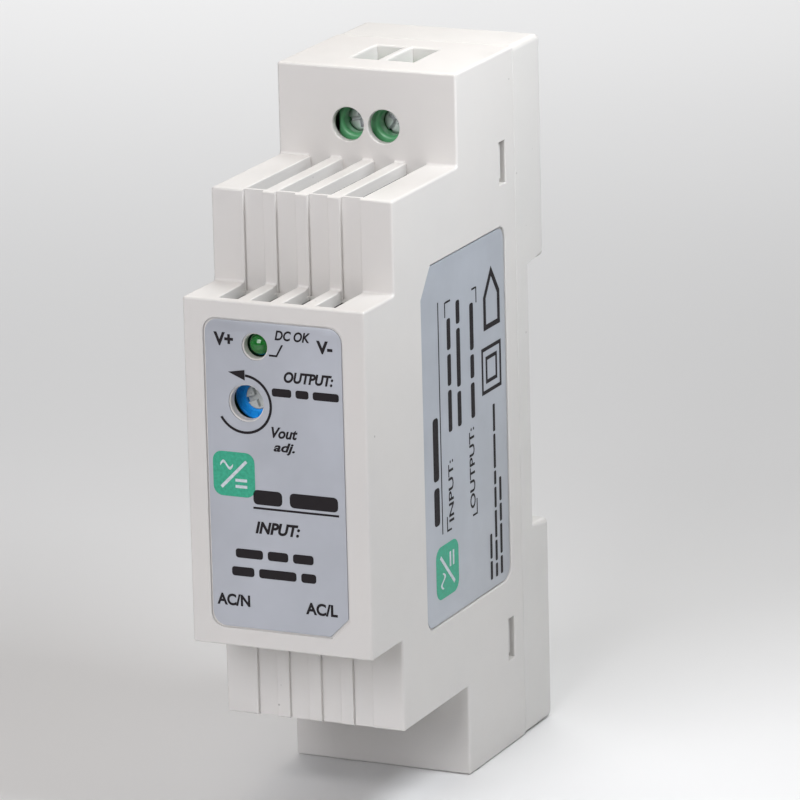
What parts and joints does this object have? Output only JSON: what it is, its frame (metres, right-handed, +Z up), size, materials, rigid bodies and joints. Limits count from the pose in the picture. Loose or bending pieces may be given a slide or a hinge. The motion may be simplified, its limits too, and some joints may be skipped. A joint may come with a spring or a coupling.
{
  "type": "din rail power supply",
  "caption": "Slim stepped AC to DC supply that clips onto a 35 mm DIN rail, with screw terminals, status lamp and output trimmer.",
  "frame": {"origin": "centre of the DIN rail seat: middle of the width, on the plane of the rail's flange, on the rail's centreline", "axes": "+Z up, across the rail; +X along the rail to the right as seen from the front; the front face points to -Y"},
  "size_m": [0.025, 0.056, 0.093],
  "materials": {
    "housing_grey": "moulded light grey ABS/PC, fine texture with a soft sheen",
    "rear_grey": "the same light grey, moulded separately",
    "latch_grey": "plain grey acetal",
    "spring_steel": "bright drawn wire",
    "front_film": "satin silver-blue printed film",
    "side_film": "satin silver-blue printed film",
    "board_laminate": "green solder mask over glass laminate",
    "led_green": "tinted clear epoxy",
    "trimmer_blue": "bright blue moulding",
    "rotor_grey": "pale grey moulding",
    "terminal_green": "green polyamide",
    "tinned_brass": "tinned strip",
    "zinc_screw": "bright zinc plate",
    "clamp_steel": "zinc-plated stamped strip",
    "black_case": "black moulding",
    "blue_coating": "dipped epoxy",
    "green_coating": "dipped epoxy",
    "yellow_case": "yellow film capacitor box",
    "ferrite": "sintered ferrite",
    "copper_wire": "enamelled copper",
    "chip_black": "moulded epoxy package",
    "capacitor_sleeve": "heat-shrunk sleeve",
    "sink_aluminium": "mill finish",
    "bobbin_black": "black phenolic",
    "winding_tape": "yellow polyester tape",
    "white_case": "off-white moulding"
  },
  "bodies": {
    "case": {"front_housing": "housing_grey", "rear_housing": "rear_grey", "latch_spring": "spring_steel", "front_label": "front_film", "side_label": "side_film", "main_board": "board_laminate", "riser_board": "board_laminate", "front_board": "board_laminate", "status_led": "led_green", "trimmer_body": "trimmer_blue", "output_terminal_block": "terminal_green", "input_terminal_block": "terminal_green", "output_contacts": "tinned_brass", "input_contacts": "tinned_brass", "fuse": "black_case", "varistor": "blue_coating", "inrush_thermistor": "green_coating", "x2_capacitor": "yellow_case", "choke_core": "ferrite", "choke_windings": "copper_wire", "bridge_rectifier": "chip_black", "input_capacitor": "capacitor_sleeve", "switching_transistor": "chip_black", "heat_sink": "sink_aluminium", "heat_sink_screw": "zinc_screw", "transformer_core": "ferrite", "transformer_bobbin": "bobbin_black", "transformer_winding": "winding_tape", "y_capacitor": "blue_coating", "output_diode": "chip_black", "output_inductor": "ferrite", "output_capacitors": "capacitor_sleeve", "controller_chip": "chip_black", "optocoupler": "white_case"},
    "latch": {"rail_latch": "latch_grey"},
    "trimmer_knob": {"trimmer_rotor": "rotor_grey"},
    "output_plus_screw": {"output_plus_screw": "zinc_screw"},
    "output_plus_clamp": {"output_plus_clamp": "clamp_steel"},
    "output_minus_screw": {"output_minus_screw": "zinc_screw"},
    "output_minus_clamp": {"output_minus_clamp": "clamp_steel"},
    "input_neutral_screw": {"input_neutral_screw": "zinc_screw"},
    "input_neutral_clamp": {"input_neutral_clamp": "clamp_steel"},
    "input_line_screw": {"input_line_screw": "zinc_screw"},
    "input_line_clamp": {"input_line_clamp": "clamp_steel"}
  },
  "joints": [
    {"name": "latch_slide", "type": "slide", "parent": "case", "child": "latch", "axis": [0, 0, -1], "range_m": [0, 0.003], "stiffness_N_per_m": 350, "deforming": ["latch_spring"]},
    {"name": "trimmer_turn", "type": "hinge", "parent": "case", "child": "trimmer_knob", "pos_m": [-0.0041, -0.0468, 0.0104], "axis": [0, 1, 0], "range_deg": [-117.5, 117.5]},
    {"name": "output_plus_screw_turn", "type": "hinge", "parent": "case", "child": "output_plus_screw", "pos_m": [-0.0027, -0.0175, 0.04], "axis": [0, 1, 0], "range_deg": [0, 2161]},
    {"name": "output_plus_clamp_slide", "type": "slide", "parent": "case", "child": "output_plus_clamp", "axis": [0, -1, 0], "range_m": [0, 0.0027]},
    {"name": "output_minus_screw_turn", "type": "hinge", "parent": "case", "child": "output_minus_screw", "pos_m": [0.0023, -0.0175, 0.04], "axis": [0, 1, 0], "range_deg": [0, 2161]},
    {"name": "output_minus_clamp_slide", "type": "slide", "parent": "case", "child": "output_minus_clamp", "axis": [0, -1, 0], "range_m": [0, 0.0027]},
    {"name": "input_neutral_screw_turn", "type": "hinge", "parent": "case", "child": "input_neutral_screw", "pos_m": [-0.0027, -0.0175, -0.038], "axis": [0, 1, 0], "range_deg": [0, 2161]},
    {"name": "input_neutral_clamp_slide", "type": "slide", "parent": "case", "child": "input_neutral_clamp", "axis": [0, -1, 0], "range_m": [0, 0.0027]},
    {"name": "input_line_screw_turn", "type": "hinge", "parent": "case", "child": "input_line_screw", "pos_m": [0.0023, -0.0175, -0.038], "axis": [0, 1, 0], "range_deg": [0, 2161]},
    {"name": "input_line_clamp_slide", "type": "slide", "parent": "case", "child": "input_line_clamp", "axis": [0, -1, 0], "range_m": [0, 0.0027]}
  ],
  "couplings": [
    {"joint": "output_plus_screw_turn", "follows": "output_plus_clamp_slide", "rad_per_m": 13963},
    {"joint": "output_minus_screw_turn", "follows": "output_minus_clamp_slide", "rad_per_m": 13963},
    {"joint": "input_neutral_screw_turn", "follows": "input_neutral_clamp_slide", "rad_per_m": 13963},
    {"joint": "input_line_screw_turn", "follows": "input_line_clamp_slide", "rad_per_m": 13963}
  ]
}
